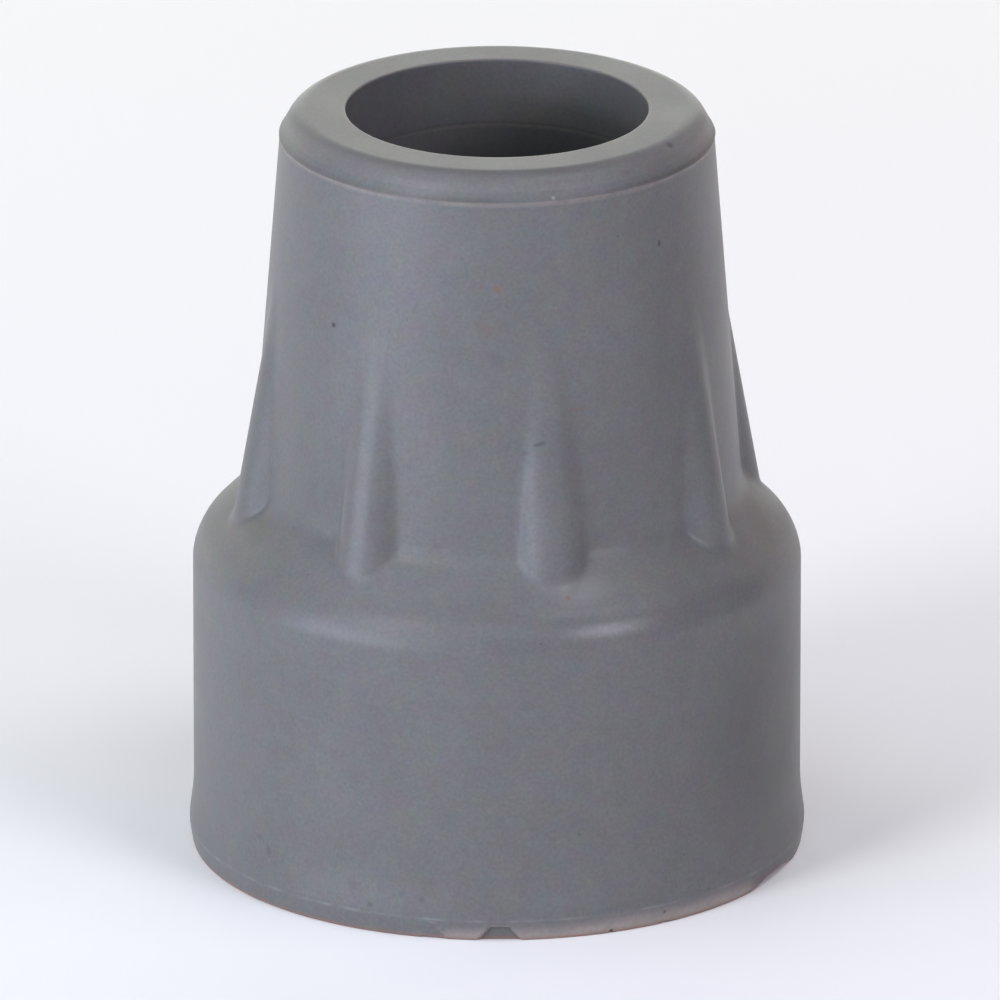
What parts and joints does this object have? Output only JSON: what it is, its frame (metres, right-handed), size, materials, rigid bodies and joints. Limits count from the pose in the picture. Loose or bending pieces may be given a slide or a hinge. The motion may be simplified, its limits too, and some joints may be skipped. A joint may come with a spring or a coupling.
{
  "type": "rubber cane tip",
  "caption": "Grey rubber ferrule for a walking cane: a tapered neck with a round socket for the shaft, grip ribs that run into a shoulder, and a wide base with a ringed tread.",
  "frame": {"origin": "centre of the sole, on the floor that the tip stands on", "axes": "+Z along the cane shaft, out of the socket's mouth; one rib faces each of +X, -X, +Y and -Y"},
  "size_m": [0.039, 0.039, 0.0486],
  "materials": {
    "grey_rubber": "matte moulded grey rubber with a faint bloom"
  },
  "bodies": {
    "root": {"cane_tip": "grey_rubber"}
  },
  "joints": []
}
